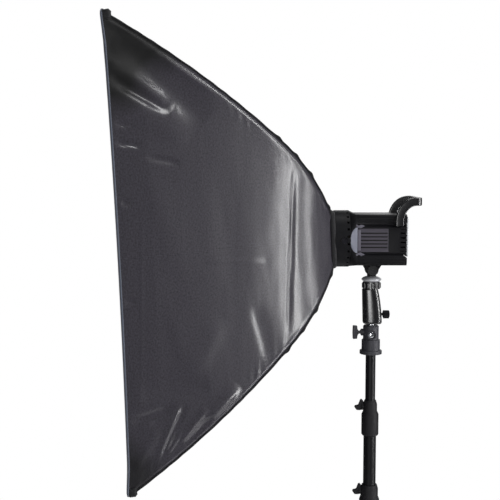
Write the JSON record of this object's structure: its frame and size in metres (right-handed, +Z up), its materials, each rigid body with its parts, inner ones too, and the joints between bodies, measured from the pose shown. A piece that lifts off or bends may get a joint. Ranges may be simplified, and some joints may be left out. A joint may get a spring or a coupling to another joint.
{
  "type": "studio softbox",
  "caption": "Tall rectangular soft box on a studio lamp with bail handle, tilting and panning on a telescopic three-legged stand.",
  "frame": {"origin": "the stand's axis where it meets the floor", "axes": "+Z up along the stand, -X the way the soft box faces, +Y to its right hand side"},
  "size_m": [0.7614, 0.742, 1.6884],
  "materials": {
    "black_plastic": "gloss black moulded plastic",
    "matte_black": "matte black moulded plastic",
    "rubber": "matte rubber",
    "black_tube": "black anodised tube",
    "silver": "satin anodised",
    "chrome": "polished chrome plate",
    "steel": "bright spring steel",
    "nylon_black": "satin coated nylon",
    "nylon_edge": "woven edge tape",
    "diffuser_white": "white diffusion nylon",
    "glass": "clear glass",
    "ceramic": "glazed white",
    "board": "green circuit laminate"
  },
  "bodies": {
    "stand_base": {"lower_tube": "black_tube", "base_hub": "black_plastic", "hub_pins": "steel", "lower_collar": "black_plastic"},
    "low_clamp": {"lower_collar_knob": "matte_black"},
    "leg_slider": {"leg_collar": "black_plastic", "leg_pins": "steel"},
    "slider_clamp": {"leg_collar_knob": "matte_black"},
    "front_leg": {"leg_front": "black_tube", "foot_front": "rubber"},
    "left_leg": {"leg_left": "black_tube", "foot_left": "rubber"},
    "right_leg": {"leg_right": "black_tube", "foot_right": "rubber"},
    "front_brace": {"brace_front": "steel"},
    "left_brace": {"brace_left": "steel"},
    "right_brace": {"brace_right": "steel"},
    "mid_section": {"mid_tube": "black_tube", "upper_collar": "black_plastic"},
    "mid_clamp": {"upper_collar_knob": "matte_black"},
    "top_section": {"top_tube": "black_tube", "head_sleeve": "black_tube", "head_casting": "black_tube", "spigot": "chrome"},
    "head_clamp": {"head_t_knob": "matte_black"},
    "pan_head": {"grip": "black_plastic", "tension_disc": "chrome", "tilt_tongue": "black_plastic", "tilt_bolt": "steel"},
    "grip_clamp": {"grip_knob": "matte_black"},
    "lock_collar": {"lock_ring": "matte_black"},
    "tilt_handwheel": {"tilt_knob": "matte_black"},
    "lamp_head": {"tilt_cheeks": "black_tube", "lamp_body": "black_tube", "front_ring": "black_plastic", "side_panels": "silver", "rear_fins": "silver", "rear_panel": "silver", "power_inlet": "matte_black", "handle": "black_plastic", "reflector": "silver", "lamp_socket": "ceramic", "flash_tube": "glass", "modelling_bulb": "glass", "circuit_board": "board", "fan_frame": "matte_black"},
    "ring_screw": {"ring_lock_screw": "steel"},
    "rocker": {"power_switch": "matte_black"},
    "rotor": {"fan_rotor": "matte_black"},
    "softbox": {"speed_ring": "silver", "rod_sockets": "matte_black", "rods": "steel", "cover_top": "nylon_black", "cover_bottom": "nylon_black", "cover_left": "nylon_black", "cover_right": "nylon_black", "front_hem": "nylon_edge", "corner_boots": "rubber", "inner_diffuser": "diffuser_white", "front_diffuser": "diffuser_white"}
  },
  "joints": [
    {"name": "leg_fold", "type": "slide", "parent": "stand_base", "child": "leg_slider", "axis": [0, 0, 1], "range_m": [0, 0.12438]},
    {"name": "front_leg_hinge", "type": "hinge", "parent": "leg_slider", "child": "front_leg", "pos_m": [-0.04, 0, 0.45631], "axis": [0, -1, 0], "range_deg": [0, 40]},
    {"name": "front_brace_hinge", "type": "hinge", "parent": "stand_base", "child": "front_brace", "pos_m": [-0.022, 0, 0.075], "axis": [0, 1, 0], "range_deg": [0, 38.23]},
    {"name": "left_leg_hinge", "type": "hinge", "parent": "leg_slider", "child": "left_leg", "pos_m": [0.02, -0.03464, 0.45631], "axis": [0.866, 0.5, 0], "range_deg": [0, 40]},
    {"name": "left_brace_hinge", "type": "hinge", "parent": "stand_base", "child": "left_brace", "pos_m": [0.011, -0.01905, 0.075], "axis": [-0.866, -0.5, 0], "range_deg": [0, 38.23]},
    {"name": "right_leg_hinge", "type": "hinge", "parent": "leg_slider", "child": "right_leg", "pos_m": [0.02, 0.03464, 0.45631], "axis": [-0.866, 0.5, 0], "range_deg": [0, 40]},
    {"name": "right_brace_hinge", "type": "hinge", "parent": "stand_base", "child": "right_brace", "pos_m": [0.011, 0.01905, 0.075], "axis": [0.866, -0.5, 0], "range_deg": [0, 38.23]},
    {"name": "mid_slide", "type": "slide", "parent": "stand_base", "child": "mid_section", "axis": [0, 0, 1], "range_m": [-0.105, 0.31]},
    {"name": "top_slide", "type": "slide", "parent": "mid_section", "child": "top_section", "axis": [0, 0, 1], "range_m": [-0.095, 0.3]},
    {"name": "low_clamp_turn", "type": "hinge", "parent": "stand_base", "child": "low_clamp", "pos_m": [0, 0, 0.682], "axis": [-1, 0, 0], "continuous": true},
    {"name": "slider_clamp_turn", "type": "hinge", "parent": "leg_slider", "child": "slider_clamp", "pos_m": [0, 0, 0.47631], "axis": [1, 0, 0], "continuous": true},
    {"name": "mid_clamp_turn", "type": "hinge", "parent": "mid_section", "child": "mid_clamp", "pos_m": [0, 0, 0.874], "axis": [-1, 0, 0], "continuous": true},
    {"name": "head_clamp_turn", "type": "hinge", "parent": "top_section", "child": "head_clamp", "pos_m": [0, 0, 1.042], "axis": [-1, 0, 0], "continuous": true},
    {"name": "pan", "type": "hinge", "parent": "top_section", "child": "pan_head", "pos_m": [0, 0, 1.062], "axis": [0, 0, 1], "continuous": true},
    {"name": "grip_clamp_turn", "type": "hinge", "parent": "pan_head", "child": "grip_clamp", "pos_m": [0, 0, 1.082], "axis": [1, 0, 0], "continuous": true},
    {"name": "lock_collar_turn", "type": "hinge", "parent": "pan_head", "child": "lock_collar", "pos_m": [0, 0, 1.139], "axis": [0, 0, 1], "continuous": true},
    {"name": "tilt_handwheel_turn", "type": "hinge", "parent": "pan_head", "child": "tilt_handwheel", "pos_m": [0, -0.02, 1.182], "axis": [0, -1, 0], "continuous": true},
    {"name": "tilt", "type": "hinge", "parent": "pan_head", "child": "lamp_head", "pos_m": [0, 0, 1.182], "axis": [0, 1, 0], "range_deg": [-35, 60]},
    {"name": "ring_screw_turn", "type": "hinge", "parent": "lamp_head", "child": "ring_screw", "pos_m": [-0.066, -0.062, 1.25], "axis": [0, -1, 0], "continuous": true},
    {"name": "rocker_tip", "type": "hinge", "parent": "lamp_head", "child": "rocker", "pos_m": [0.059, 0.026, 1.246], "axis": [0, 1, 0], "range_deg": [-8, 8]},
    {"name": "fan_spin", "type": "hinge", "parent": "lamp_head", "child": "rotor", "pos_m": [0.036, 0, 1.25], "axis": [1, 0, 0], "continuous": true},
    {"name": "softbox_turn", "type": "hinge", "parent": "lamp_head", "child": "softbox", "pos_m": [-0.09, 0, 1.25], "axis": [-0.999, 0, -0.0436], "range_deg": [-90, 90]}
  ],
  "couplings": [
    {"joint": "front_leg_hinge", "follows": "leg_fold", "rad_per_m": 5.6128},
    {"joint": "front_brace_hinge", "follows": "leg_fold", "rad_per_m": 5.3646},
    {"joint": "left_leg_hinge", "follows": "leg_fold", "rad_per_m": 5.6128},
    {"joint": "left_brace_hinge", "follows": "leg_fold", "rad_per_m": 5.3646},
    {"joint": "right_leg_hinge", "follows": "leg_fold", "rad_per_m": 5.6128},
    {"joint": "right_brace_hinge", "follows": "leg_fold", "rad_per_m": 5.3646}
  ]
}
